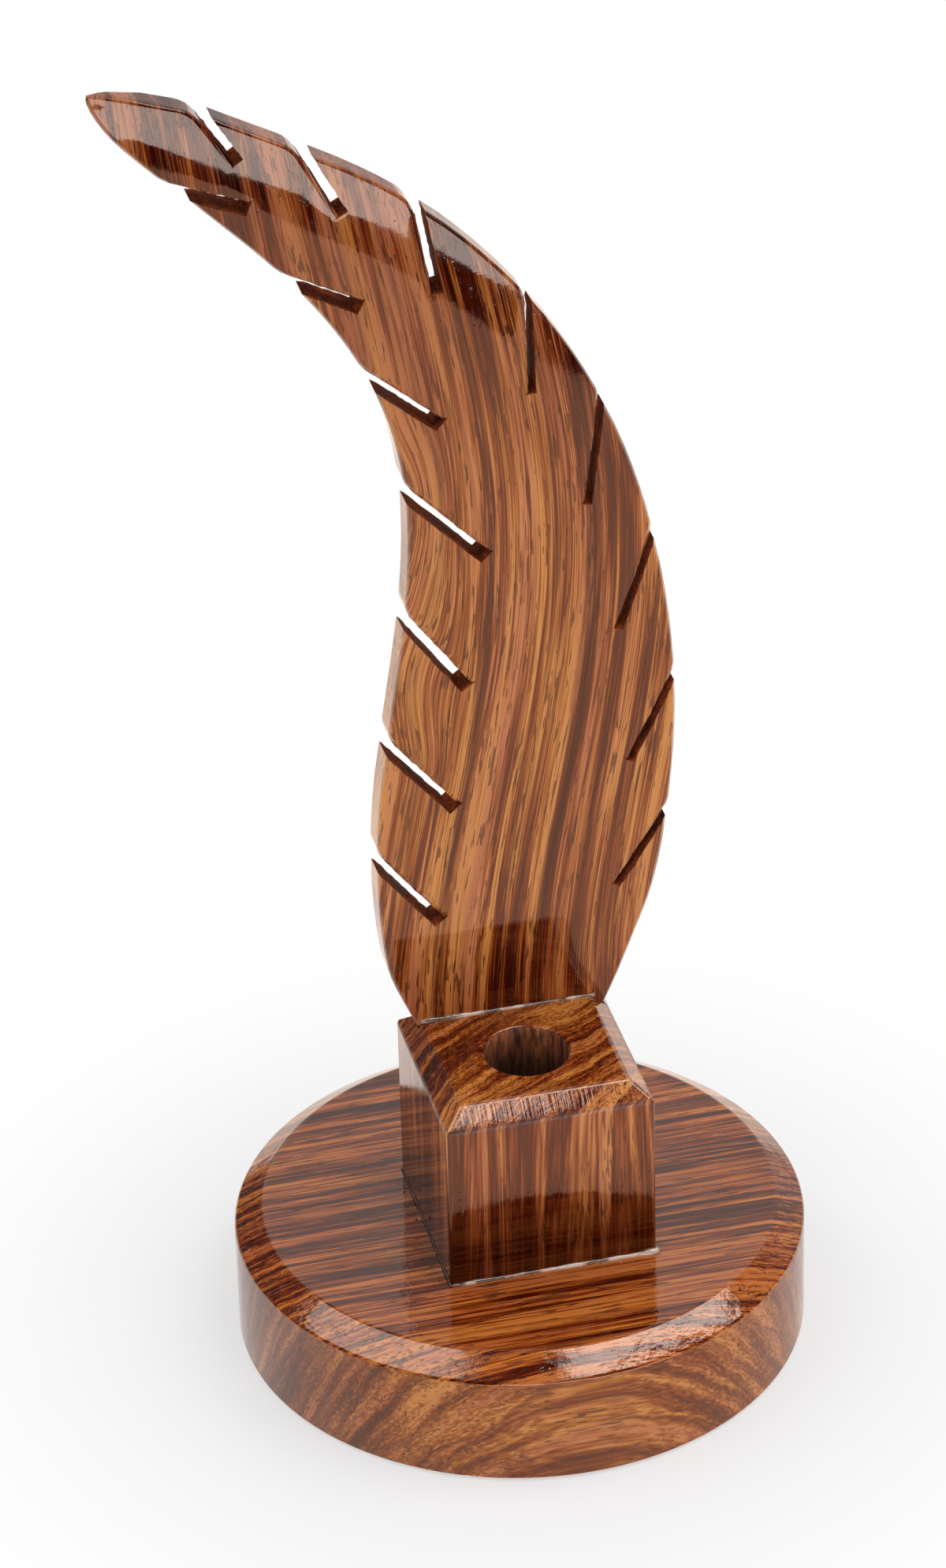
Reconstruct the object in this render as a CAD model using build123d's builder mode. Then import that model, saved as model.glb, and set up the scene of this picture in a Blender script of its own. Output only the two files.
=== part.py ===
from build123d import *
import math
import os

os.makedirs("parts", exist_ok=True)

# Pen stand: a round base, a chamfered block with a pen bore, and a feather-shaped blade in the block's back.
# The origin is the centre of the underside, +X runs right along the block's front, +Y runs back, +Z up.

# Round base
base_diameter = 96.0
rim_height = 19.5
rim_chamfer_width = 4.9
rim_chamfer_height = 3.2

# Felt pad let into the underside, standing a little proud of it
felt_margin = 6.0
felt_recess_depth = 1.0
felt_standoff = 0.4
felt_side_gap = 0.3

# Pen block
block_width = 35.2
block_depth = 34.5
block_height = 33.5
block_center_x = 0.4
block_front_y = -21.9
block_chamfer_width = 3.5
block_chamfer_height = 3.0

# Blind pen bore, a little forward of the middle of the block's free top
bore_diameter = 14.0
bore_floor = 4.5
bore_forward = 0.3

# Countersunk wood screws, up through the base into the middle of the block's walls beside the bore
screw_shank_diameter = 4.0
screw_head_diameter = 8.0
screw_head_height = 2.4
screw_head_sink = 0.3
screw_bite = 13.0
screw_point_length = 4.0
screw_shank_clearance = 0.25
screw_pilot_clearance = 0.05
screw_drive_width = 1.1
screw_drive_span = 4.4
screw_drive_depth = 1.2

# Feather blade: a flat board whose tapered foot sits in a notch in the block's back
blade_thickness = 6.0
blade_edge_ease = 0.6
foot_center_x = 1.4
foot_top_width = 33.4
foot_bottom_width = 21.2
foot_depth = 14.0
glue_gap = 0.1

# Blade edges, as points (across from the base's axis, up from the block's top)
blade_tip = (-61.4, 176.6)
outer_edge = [
    (24.7, 14.7),
    (28.8, 34.0),
    (30.2, 53.0),
    (28.6, 76.0),
    (22.9, 100.7),
    (10.6, 126.5),
    (-5.6, 146.0),
    (-21.4, 158.1),
    (-40.5, 168.9),
]
inner_edge = [
    (-53.0, 163.5),
    (-36.6, 146.8),
    (-22.4, 127.9),
    (-15.4, 110.1),
    (-13.7, 93.0),
    (-17.0, 62.5),
    (-20.7, 30.0),
    (-19.6, 12.0),
]
tip_outer_run = (-0.95, 0.31)
tip_inner_run = (0.25, -0.97)

# Sawn slits between the barbs: where each leaves the edge and where it ends, in the same terms as the edges
inner_slits = [
    ((-45.1, 157.3), (-37.0, 154.0)),
    ((-28.3, 138.9), (-20.1, 134.6)),
    ((-17.0, 119.6), (-8.0, 111.9)),
    ((-13.1, 99.3), (-1.3, 86.9)),
    ((-14.3, 76.4), (-5.0, 63.3)),
    ((-18.2, 53.6), (-7.5, 40.6)),
    ((-20.0, 31.2), (-10.6, 19.1)),
]
crest_slits = [
    ((-42.0, 168.4), (-38.0, 162.0)),
    ((-27.2, 160.6), (-22.2, 150.9)),
    ((-9.7, 147.3), (-7.7, 135.2)),
]
outer_slits = [
    ((6.9, 130.7), (7.0, 115.3)),
    ((18.3, 110.4), (15.7, 93.9)),
    ((26.1, 84.4), (20.6, 69.9)),
    ((29.5, 58.1), (22.2, 44.6)),
    ((28.2, 32.7), (19.6, 20.6)),
]
inner_kerf = 2.4
crest_kerf = 1.9
outer_kerf = 1.45
slit_run_out = 9.0
wall_tolerance = 0.001
inner_barb_round = 4.0
crest_barb_round = 6.0
outer_barb_round = 3.0

# Dowel pins through the middle of the blade's foot, into the block's walls beside the bore
pin_diameter = 3.0
pin_bore_wall = 0.5
pin_bite = 8.0
pin_clearance = 0.05

# Dried glue squeezed out along the block's foot and the blade's foot
block_bead_width = 1.3
block_bead_height = 1.2
block_bead_lip = 0.15
foot_bead_width = 0.9
foot_bead_height = 0.9

# Places that follow from the sizes above
base_radius = base_diameter / 2
base_bottom = felt_standoff
rim_top = base_bottom + rim_height
base_top = rim_top + rim_chamfer_height
recess_top = base_bottom + felt_recess_depth
felt_radius = base_radius - felt_margin
block_top = base_top + block_height
block_center_y = block_front_y + block_depth / 2
block_back_y = block_front_y + block_depth
block_flat_width = block_width - 2 * block_chamfer_width
block_flat_depth = block_depth - 2 * block_chamfer_width
blade_front_y = block_back_y - blade_thickness
bore_radius = bore_diameter / 2
bore_depth = block_height - bore_floor
bore_y = (block_front_y + block_chamfer_width + blade_front_y) / 2 - bore_forward
screw_offset = (bore_radius + block_width / 2) / 2
screw_places = [(block_center_x + side * screw_offset, bore_y) for side in (-1, 1)]
screw_head_z = recess_top + screw_head_sink
screw_tip_z = base_top + screw_bite
blade_plane = Plane(origin=(0, block_back_y, block_top), x_dir=(1, 0, 0), z_dir=(0, -1, 0))
foot_flare = (foot_top_width - foot_bottom_width) / 2 / foot_depth
pin_offset = bore_radius + pin_bore_wall + pin_diameter / 2
pin_places = [(block_center_x + side * pin_offset, -foot_depth / 2) for side in (-1, 1)]

# Every slit with its kerf, its side towards the blade's tip, and the rounding of the barb's corner there
slits = [(*ends, inner_kerf, 1, inner_barb_round) for ends in inner_slits]
slits += [(*ends, crest_kerf, -1, crest_barb_round) for ends in crest_slits]
slits += [(*ends, outer_kerf, -1, outer_barb_round) for ends in outer_slits]


# Corners of the blade's foot up to a height over the block's top, its sides flaring upwards
def foot_outline(rise):
    low = foot_bottom_width / 2
    reach = low + foot_flare * (foot_depth + rise)
    return [
        (foot_center_x - low, -foot_depth),
        (foot_center_x + low, -foot_depth),
        (foot_center_x + reach, rise),
        (foot_center_x - reach, rise),
    ]


# One straight saw cut from beyond the blade's edge to its square inner end
def saw_cut(mouth, end, kerf):
    run = Vector(*end) - Vector(*mouth)
    length = run.length + slit_run_out
    middle = Vector(*end) - run.normalized() * (length / 2)
    with Locations((middle.X, middle.Y)):
        Rectangle(length, kerf, rotation=math.degrees(math.atan2(run.Y, run.X)), mode=Mode.SUBTRACT)


# Upright edge where a slit's tip-side wall runs out at the blade's edge
def barb_corner(upright_edges, mouth, end, kerf, side):
    run = (Vector(*end) - Vector(*mouth)).normalized()
    across = Vector(-run.Y, run.X) * side

    def from_end(edge):
        place = blade_plane.to_local_coords(edge.center())
        return Vector(place.X, place.Y) - Vector(*end)

    on_wall = [edge for edge in upright_edges if abs(from_end(edge).dot(across) - kerf / 2) < wall_tolerance]
    return min(on_wall, key=lambda edge: from_end(edge).dot(run))


# Base disc: turned profile, felt recess below, screw holes with countersunk seats
with BuildPart() as base_disc:
    with BuildSketch(Plane.XZ):
        with BuildLine():
            Polyline(
                (0, base_bottom),
                (base_radius, base_bottom),
                (base_radius, rim_top),
                (base_radius - rim_chamfer_width, base_top),
                (0, base_top),
                close=True,
            )
        make_face()
    revolve(axis=Axis.Z)
    with BuildSketch(Plane.XY.offset(base_bottom)):
        Circle(felt_radius + felt_side_gap)
    extrude(amount=felt_recess_depth, mode=Mode.SUBTRACT)
    with BuildSketch(Plane.XY.offset(recess_top)):
        with Locations(*screw_places):
            Circle(screw_shank_diameter / 2 + screw_shank_clearance)
    extrude(amount=base_top - recess_top, mode=Mode.SUBTRACT)
    with Locations(*[(x, y, screw_head_z) for x, y in screw_places]):
        Cone(
            screw_head_diameter / 2,
            screw_shank_diameter / 2,
            screw_head_height,
            align=(Align.CENTER, Align.CENTER, Align.MIN),
            mode=Mode.SUBTRACT,
        )
    with BuildSketch(Plane.XY.offset(recess_top)):
        with Locations(*screw_places):
            Circle(screw_head_diameter / 2)
    extrude(amount=screw_head_sink, mode=Mode.SUBTRACT)
base_disc.part.label = "base_disc"
export_step(base_disc.part, "parts/base_disc.step")

# Felt pad
with BuildPart() as base_felt:
    with BuildSketch():
        Circle(felt_radius)
    extrude(amount=recess_top)
base_felt.part.label = "base_felt"
export_step(base_felt.part, "parts/base_felt.step")

# Block screws: countersunk head with a cross recess, plain shank, pointed end
with BuildPart() as block_screws:
    for x, y in screw_places:
        with BuildSketch(Plane.XZ.offset(-y)):
            with BuildLine():
                Polyline(
                    (x, screw_head_z),
                    (x + screw_head_diameter / 2, screw_head_z),
                    (x + screw_shank_diameter / 2, screw_head_z + screw_head_height),
                    (x + screw_shank_diameter / 2, screw_tip_z - screw_point_length),
                    (x, screw_tip_z),
                    close=True,
                )
            make_face()
        revolve(axis=Axis((x, y, 0), (0, 0, 1)))
    with BuildSketch(Plane.XY.offset(screw_head_z)):
        with Locations(*screw_places):
            Rectangle(screw_drive_span, screw_drive_width)
            Rectangle(screw_drive_width, screw_drive_span)
    extrude(amount=screw_drive_depth, mode=Mode.SUBTRACT)
block_screws.part.label = "block_screws"
export_step(block_screws.part, "parts/block_screws.step")

# Pen block: chamfered top, pen bore, notch for the blade's foot, screw pilots and pin holes
with BuildPart() as pen_block:
    with BuildSketch(Plane.XY.offset(base_top)):
        with Locations((block_center_x, block_center_y)):
            Rectangle(block_width, block_depth)
    extrude(amount=block_height - block_chamfer_height)
    with BuildSketch(Plane.XY.offset(block_top - block_chamfer_height)):
        with Locations((block_center_x, block_center_y)):
            Rectangle(block_width, block_depth)
    with BuildSketch(Plane.XY.offset(block_top)):
        with Locations((block_center_x, block_center_y)):
            Rectangle(block_flat_width, block_flat_depth)
    loft(ruled=True)
    with BuildSketch(Plane.XY.offset(block_top)):
        with Locations((block_center_x, bore_y)):
            Circle(bore_radius)
    extrude(amount=-bore_depth, mode=Mode.SUBTRACT)
    with BuildSketch(blade_plane):
        Polygon(*foot_outline(block_chamfer_height), align=None)
        offset(amount=glue_gap, kind=Kind.INTERSECTION, mode=Mode.REPLACE)
    extrude(amount=blade_thickness + glue_gap, mode=Mode.SUBTRACT)
    with BuildSketch(Plane.XY.offset(base_top)):
        with Locations(*screw_places):
            Circle(screw_shank_diameter / 2 + screw_pilot_clearance)
    extrude(amount=screw_bite, mode=Mode.SUBTRACT)
    with BuildSketch(blade_plane):
        with Locations(*pin_places):
            Circle(pin_diameter / 2 + pin_clearance)
    extrude(amount=blade_thickness + pin_bite, mode=Mode.SUBTRACT)
pen_block.part.label = "pen_block"
export_step(pen_block.part, "parts/pen_block.step")

# Feather blade: smooth outline with a tapered foot, slit into round-cornered barbs, its outer arrises eased
with BuildPart() as feather_blade:
    with BuildSketch(blade_plane):
        with BuildLine():
            low_left, low_right, high_right, high_left = foot_outline(0)
            Polyline(high_left, low_left, low_right, high_right)
            Spline(high_right, *outer_edge, blade_tip, tangents=[(foot_flare, 1), tip_outer_run])
            Spline(blade_tip, *inner_edge, high_left, tangents=[tip_inner_run, (foot_flare, -1)])
        make_face()
        for mouth, end, kerf, side, barb_round in slits:
            saw_cut(mouth, end, kerf)
        with Locations(*pin_places):
            Circle(pin_diameter / 2 + pin_clearance, mode=Mode.SUBTRACT)
    extrude(amount=blade_thickness)
    for mouth, end, kerf, side, barb_round in slits:
        upright_edges = feather_blade.edges().filter_by(Axis.Y)
        fillet(barb_corner(upright_edges, mouth, end, kerf, side), radius=barb_round)
    outline = feather_blade.faces().filter_by(Axis.Y).edges().filter_by(GeomType.LINE, reverse=True)
    chamfer([edge for edge in outline if edge.center().Z > block_top], length=blade_edge_ease)
feather_blade.part.label = "feather_blade"
export_step(feather_blade.part, "parts/feather_blade.step")

# Foot pins: two dowels, flush with the blade's back
with BuildPart() as foot_pins:
    with BuildSketch(blade_plane):
        with Locations(*pin_places):
            Circle(pin_diameter / 2)
    extrude(amount=blade_thickness + pin_bite)
foot_pins.part.label = "foot_pins"
export_step(foot_pins.part, "parts/foot_pins.step")

# Glue bead round the block's foot, leaning against all four sides
with BuildPart() as block_glue_bead:
    with BuildSketch(Plane.XY.offset(base_top)):
        with Locations((block_center_x, block_center_y)):
            Rectangle(block_width + 2 * block_bead_width, block_depth + 2 * block_bead_width)
    with BuildSketch(Plane.XY.offset(base_top + block_bead_height)):
        with Locations((block_center_x, block_center_y)):
            Rectangle(block_width + 2 * block_bead_lip, block_depth + 2 * block_bead_lip)
    loft(ruled=True)
    with BuildSketch(Plane.XY.offset(base_top)):
        with Locations((block_center_x, block_center_y)):
            Rectangle(block_width, block_depth)
    extrude(amount=block_bead_height, mode=Mode.SUBTRACT)
block_glue_bead.part.label = "block_glue_bead"
export_step(block_glue_bead.part, "parts/block_glue_bead.step")

# Glue bead where the blade's front face meets the block's top
with BuildPart() as foot_glue_bead:
    with BuildSketch(Plane.YZ.offset(block_center_x - block_flat_width / 2)):
        with BuildLine():
            Polyline(
                (blade_front_y, block_top),
                (blade_front_y, block_top + foot_bead_height),
                (blade_front_y - foot_bead_width, block_top),
                close=True,
            )
        make_face()
    extrude(amount=block_flat_width)
foot_glue_bead.part.label = "foot_glue_bead"
export_step(foot_glue_bead.part, "parts/foot_glue_bead.step")
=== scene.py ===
import math
import bmesh
import bpy
from mathutils import Matrix, Vector, noise
from mathutils.geometry import delaunay_2d_cdt


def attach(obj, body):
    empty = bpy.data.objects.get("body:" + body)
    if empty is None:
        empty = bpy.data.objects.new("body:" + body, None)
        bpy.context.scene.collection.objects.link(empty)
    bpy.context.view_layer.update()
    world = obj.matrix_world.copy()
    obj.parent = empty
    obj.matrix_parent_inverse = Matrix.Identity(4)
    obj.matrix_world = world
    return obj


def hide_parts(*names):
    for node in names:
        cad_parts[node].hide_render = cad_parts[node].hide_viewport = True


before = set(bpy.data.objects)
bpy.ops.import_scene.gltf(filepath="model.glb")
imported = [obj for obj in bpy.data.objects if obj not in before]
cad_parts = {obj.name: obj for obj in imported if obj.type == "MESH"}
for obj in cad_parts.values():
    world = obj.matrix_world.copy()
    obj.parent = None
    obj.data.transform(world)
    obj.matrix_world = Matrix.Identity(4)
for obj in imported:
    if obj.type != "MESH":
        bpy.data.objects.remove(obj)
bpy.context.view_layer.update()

mm = 0.001
scene = bpy.context.scene
scene.view_settings.view_transform = "Standard"
print("frame loaded:", ", ".join(sorted(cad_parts)))


# Camera, at the photograph's viewing angle
photoCamera = {
    "turn": 13.2602,  # degrees to the left of the block's front
    "rise": 32.2805,
    "roll": -1.5808,
    "distance": 1.01792,
    "aimAcross": -0.0058,
    "aimHeight": 0.10502,
    "lens": 144.8,
    "sensor": 36,
    "nearClip": 0.01,
}


def placeCamera(view):
    turn, rise, roll = (math.radians(view[key]) for key in ("turn", "rise", "roll"))
    back = Vector((-math.sin(turn) * math.cos(rise), -math.cos(turn) * math.cos(rise), math.sin(rise)))
    level = Vector((math.cos(turn), -math.sin(turn), 0))
    upright = back.cross(level)
    across = math.cos(roll) * level + math.sin(roll) * upright
    upward = math.cos(roll) * upright - math.sin(roll) * level
    spot = Vector((0, 0, view["aimHeight"])) + view["aimAcross"] * level + view["distance"] * back
    data = bpy.data.cameras.new("photoCamera")
    data.lens = view["lens"]
    data.sensor_width = view["sensor"]
    data.clip_start = view["nearClip"]
    camera = bpy.data.objects.new("photoCamera", data)
    camera.matrix_world = Matrix((across, upward, back)).transposed().to_4x4()
    camera.location = spot
    scene.collection.objects.link(camera)
    scene.camera = camera


placeCamera(photoCamera)
print("camera placed")


# Small helpers for node trees: each adds its node to the tree that the given sockets belong to
def feed(socket, value):
    if isinstance(value, bpy.types.NodeSocket):
        socket.id_data.links.new(value, socket)
    else:
        socket.default_value = value


def addNode(kind, values, **settings):
    tree = next(value.id_data for value in values.values() if isinstance(value, bpy.types.NodeSocket))
    node = tree.nodes.new(kind)
    for name, value in settings.items():
        setattr(node, name, value)
    for name, value in values.items():
        feed(node.inputs[name], value)
    return node.outputs


def nodeMaker(kind, operation, output=0):
    def make(*values):
        return addNode(kind, dict(enumerate(values)), operation=operation)[output]
    return make


plus, minus, times, over, timesPlus = (
    nodeMaker("ShaderNodeMath", operation)
    for operation in ("ADD", "SUBTRACT", "MULTIPLY", "DIVIDE", "MULTIPLY_ADD")
)
larger, absolute, cosine, fraction, wholeOf = (
    nodeMaker("ShaderNodeMath", operation)
    for operation in ("MAXIMUM", "ABSOLUTE", "COSINE", "FRACT", "FLOOR")
)
addVectors, takeVectors, scaleVectors, divideVectors, crossOf, unitOf = (
    nodeMaker("ShaderNodeVectorMath", operation)
    for operation in ("ADD", "SUBTRACT", "MULTIPLY", "DIVIDE", "CROSS_PRODUCT", "NORMALIZE")
)
dotOf, lengthOf = (
    nodeMaker("ShaderNodeVectorMath", operation, "Value") for operation in ("DOT_PRODUCT", "LENGTH")
)


def joinXyz(*parts):
    return addNode("ShaderNodeCombineXYZ", dict(enumerate(parts)))[0]


def splitXyz(vector):
    return addNode("ShaderNodeSeparateXYZ", {0: vector})


def addNoise(place, size, shift, detail=2.0, roughness=0.5):
    moved = addVectors(divideVectors(place, size), shift)
    values = {"Vector": moved, "Scale": 1.0, "Detail": detail, "Roughness": roughness}
    return addNode("ShaderNodeTexNoise", values, noise_dimensions="3D")["Fac"]


def smoothStep(value, low, high, atLow=0.0, atHigh=1.0):
    values = {"Value": value, "From Min": low, "From Max": high, "To Min": atLow, "To Max": atHigh}
    return addNode("ShaderNodeMapRange", values, interpolation_type="SMOOTHSTEP")["Result"]


def addRamp(value, stops):
    colour = addNode("ShaderNodeValToRGB", {"Fac": value})["Color"]
    ramp = colour.node.color_ramp
    while len(ramp.elements) < len(stops):
        ramp.elements.new(0.5)
    for element, (place, tone) in zip(ramp.elements, stops):
        element.position = place
        element.color = (*tone, 1)
    return colour


def mixColour(factor, first, second, blend="MIX"):
    first, second = ((*value, 1) if isinstance(value, tuple) else value for value in (first, second))
    values = {0: factor, 6: first, 7: second}  # the mix node's sockets for colours
    return addNode("ShaderNodeMix", values, data_type="RGBA", blend_type=blend)[2]


def newGroup(name, takes, gives):
    tree = bpy.data.node_groups.new(name, "ShaderNodeTree")
    for label, value in takes.items():
        kind = "NodeSocketVector" if value is None else "NodeSocketFloat"
        socket = tree.interface.new_socket(label, in_out="INPUT", socket_type=kind)
        if value is not None:
            socket.default_value = value
    for label, kind in gives.items():
        tree.interface.new_socket(label, in_out="OUTPUT", socket_type=kind)
    return tree, tree.nodes.new("NodeGroupInput").outputs, tree.nodes.new("NodeGroupOutput").inputs


def newMaterial(name):
    material = bpy.data.materials.new(name)
    material.use_nodes = True
    nodes = material.node_tree.nodes
    shader = next(node for node in nodes if node.type == "BSDF_PRINCIPLED")
    coords = nodes.new("ShaderNodeTexCoord").outputs["Object"]
    return material, shader, scaleVectors(coords, (1000, 1000, 1000))  # places in millimetres


def finishSurface(shader, colour, roughness, height, fixed):
    # heights are written in millimetres
    bump = addNode("ShaderNodeBump", {"Strength": 1.0, "Distance": mm, "Height": height})["Normal"]
    values = {"Base Color": colour, "Roughness": roughness, "Normal": bump, **fixed}
    for name, value in values.items():
        feed(shader.inputs[name], value)


# Rosewood: growth layers along the place's X, its Y beside them, the grain along its Z, all in millimetres
rosewood = {
    "inputs": {
        "Place": None, "Wave": 2.0, "Stripe Width": 1.6, "Thread Width": 0.42, "Thread Length": 110.0,
        "Contrast": 1.0, "Line Gap": 6.0, "Lines": 0.8, "Lightness": 0.0,
    },
    "tones": [
        (0.00, (0.055, 0.006, 0.0025)),
        (0.20, (0.108, 0.015, 0.0040)),
        (0.40, (0.190, 0.037, 0.0070)),
        (0.60, (0.285, 0.074, 0.0150)),
        (0.80, (0.405, 0.133, 0.0330)),
        (1.00, (0.560, 0.220, 0.0700)),
    ],
    "shares": (1.6, 0.90, 0.70, 1.7),  # broad bands, stripes, threads and fibres
    "quiver": 0.6,  # how far the layers tremble along the grain
    "goldenTint": (1.04, 1.10, 0.90),  # stripes of a warmer and of a more purple brown
    "purpleTint": (0.92, 0.83, 1.10),
    "lineTint": (0.42, 0.22, 0.24),
    "lineWander": 2.4,
    "streakTint": (0.28, 0.18, 0.22),
    "streakWander": 3.0,
    "poreColour": (0.030, 0.007, 0.003),
    "poreShare": 0.75,
    "poreSize": (0.34, 0.34, 4.4),
    "poreDepth": 0.008,
    "fibreHeight": 0.0016,
}


def buildRosewoodGrain(look):
    gives = {"Color": "NodeSocketColor", "Height": "NodeSocketFloat"}
    tree, takes, gives = newGroup("rosewoodGrain", look["inputs"], gives)
    place = takes["Place"]
    layer, beside, along = splitXyz(place)
    drift = minus(addNoise(place, (19.0, 19.0, 230.0), (3.1, 7.7, 1.9)), 0.5)
    layer = timesPlus(drift, times(takes["Wave"], 2.0), layer)
    quiver = minus(addNoise(place, (3.0, 3.0, 60.0), (1.3, 4.1, 8.2)), 0.5)
    layer = timesPlus(quiver, look["quiver"], layer)
    grainPlace = joinXyz(layer, beside, along)
    stripePlace = joinXyz(over(layer, takes["Stripe Width"]), over(beside, 32.0), over(along, 110.0))
    threadPlace = joinXyz(over(layer, takes["Thread Width"]), over(beside, 8.0),
                          over(along, takes["Thread Length"]))
    broad = addNoise(stripePlace, (3.4, 1.0, 1.0), (11.3, 2.2, 5.1), 1.0)
    stripes = addNoise(stripePlace, (1.0, 1.0, 1.0), (4.4, 8.2, 2.3), 3.0, 0.6)
    threads = addNoise(threadPlace, (1.0, 1.0, 1.0), (7.1, 0.4, 3.3))
    fibre = addNoise(threadPlace, (0.45, 0.12, 0.16), (0.2, 5.3, 6.8), 1.0)
    swing = 0.0
    for share, pattern in zip(look["shares"], (broad, smoothStep(stripes, 0.32, 0.68), threads, fibre)):
        swing = timesPlus(minus(pattern, 0.5), share, swing)
    tone = timesPlus(swing, takes["Contrast"], plus(takes["Lightness"], 0.5))
    colour = addRamp(tone, look["tones"])
    hue = smoothStep(addNoise(stripePlace, (1.3, 1.0, 1.0), (9.5, 3.7, 6.6), 1.0), 0.32, 0.68)
    colour = mixColour(1.0, colour, mixColour(hue, look["goldenTint"], look["purpleTint"]), "MULTIPLY")
    # growth lines: each ring darkens slowly to its end, then starts light again
    wander = addNoise(grainPlace, (14.0, 30.0, 120.0), (6.4, 9.9, 0.7), 1.0)
    ring = plus(over(layer, takes["Line Gap"]), times(wander, look["lineWander"]))
    late = fraction(ring)
    lines = times(smoothStep(late, 0.62, 0.95), smoothStep(late, 0.95, 1.0, 1.0, 0.0))
    ringPlace = joinXyz(wholeOf(ring), 0.0, over(along, 90.0))
    uneven = addNoise(ringPlace, (0.37, 1, 1), (2, 6, 4), 0.0)
    lines = times(lines, smoothStep(uneven, 0.30, 0.62, 0.25, 1.0))
    ragged = addNoise(grainPlace, (0.5, 1.5, 11.0), (8, 3, 2))
    lines = times(lines, smoothStep(ragged, 0.30, 0.62, 0.55, 1.0))
    colour = mixColour(times(lines, takes["Lines"]), colour, look["lineTint"], "MULTIPLY")
    patches = addNoise(grainPlace, (2.2, 6.0, 14.0), (4, 4, 9), 1.0)
    cut = smoothStep(patches, 0.35, 0.70, 0.68, 0.57)  # pores crowd in some stripes
    pores = smoothStep(minus(addNoise(place, look["poreSize"], (17, 5, 3), 1.0, 0.4), cut), 0.0, 0.03)
    colour = mixColour(times(pores, look["poreShare"]), colour, look["poreColour"])
    feed(gives["Color"], colour)
    feed(gives["Height"], timesPlus(fibre, look["fibreHeight"], times(pores, -look["poreDepth"])))
    return tree


# Lacquer: slow orange peel, a finer skin, ridges over the grain and a few dust specks
lacquer = {
    "inputs": {"Place": None, "Grain Place": None, "Ridges": 0.003, "Unevenness": 1.0},
    "peelSize": 2.2,
    "peelHeight": 0.0055,
    "skinSize": 0.55,
    "skinHeight": 0.0018,
    "ridgeSize": (0.42, 0.42, 17.0),
    "speckGap": 3.2,
    "speckHeight": 0.012,
    "cloudSize": 9.0,
    "roughness": (0.035, 0.075),
    "surface": {"IOR": 1.6, "Specular IOR Level": 0.9, "Specular Tint": (1.0, 0.87, 0.78, 1.0)},
}


def buildLacquerSkin(look):
    gives = {"Height": "NodeSocketFloat", "Roughness": "NodeSocketFloat"}
    tree, takes, gives = newGroup("lacquerSkin", look["inputs"], gives)
    place = takes["Place"]
    peel = addNoise(place, (look["peelSize"],) * 3, (2, 9, 4), 1.0)
    skin = addNoise(place, (look["skinSize"],) * 3, (5, 1, 7), 1.0)
    specks = addNode("ShaderNodeTexVoronoi", {"Vector": place, "Scale": 1 / look["speckGap"]})["Distance"]
    dust = smoothStep(specks, 0.03, 0.10, 1.0, 0.0)
    height = timesPlus(skin, look["skinHeight"], times(peel, look["peelHeight"]))
    height = timesPlus(dust, look["speckHeight"], times(height, takes["Unevenness"]))
    ridges = addNoise(takes["Grain Place"], look["ridgeSize"], (3, 8, 5))
    feed(gives["Height"], timesPlus(ridges, takes["Ridges"], height))
    cloud = addNoise(place, (look["cloudSize"],) * 3, (1, 2, 3))
    feed(gives["Roughness"], smoothStep(cloud, 0.3, 0.7, *look["roughness"]))
    return tree


rosewoodGrain = buildRosewoodGrain(rosewood)
lacquerSkin = buildLacquerSkin(lacquer)


def cutWood(look, facing):
    # cut across, the wood looks calmer and darker, and its sides differ from its top
    grain = dict(look["grain"])
    if "endGrain" not in look:
        return grain, None
    axis, calm, darker = look["endGrain"]
    across = smoothStep(absolute(dotOf(facing, axis)), 0.55, 0.92)
    lying = absolute(splitXyz(facing)[2])
    # a negative darkening makes the top lighter than the sides; on the block this is partly painted shade on
    # its sides
    grain["Lightness"] = timesPlus(across, -darker, grain["Lightness"])
    contrast = smoothStep(lying, 0.15, 0.35, look["sideContrast"], look["topContrast"])
    grain["Contrast"] = times(timesPlus(across, calm - 1, 1.0), contrast)
    for name, atSide in look["sideGrain"].items():
        grain[name] = smoothStep(lying, 0.15, 0.35, atSide, grain[name])
    return grain, mixColour(smoothStep(lying, 0.30, 0.60), look["sideTint"], look["topTint"])


def bareBore(look, place, colour, roughness):
    bore = look["bore"]  # bare brown wood, with painted shade that turns it black further down
    reach = scaleVectors(takeVectors(place, bore["middle"]), (1.0, 1.0, 0.0))
    limits = (bore["radius"] ** 2, (bore["radius"] + bore["blend"]) ** 2)
    bare = smoothStep(dotOf(reach, reach), *limits, 1.0, 0.0)
    # painted shade: the bore's wall goes to black further down
    deepShade = smoothStep(splitXyz(place)[2], bore["shadeBelow"], look["top"], 0.12, 1.0)
    rough = smoothStep(addNoise(place, (0.7, 0.7, 3.5), (2, 4, 8), 3.0, 0.6), 0.36, 0.62, 0.30, 1.45)
    wall = mixColour(bore["bareShare"], colour, bore["colour"])
    wall = mixColour(1.0, wall, joinXyz(rough, rough, rough), "MULTIPLY")
    wall = mixColour(deepShade, (0.0, 0.0, 0.0), wall)
    return mixColour(bare, colour, wall), timesPlus(bare, bore["roughness"], roughness)


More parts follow.
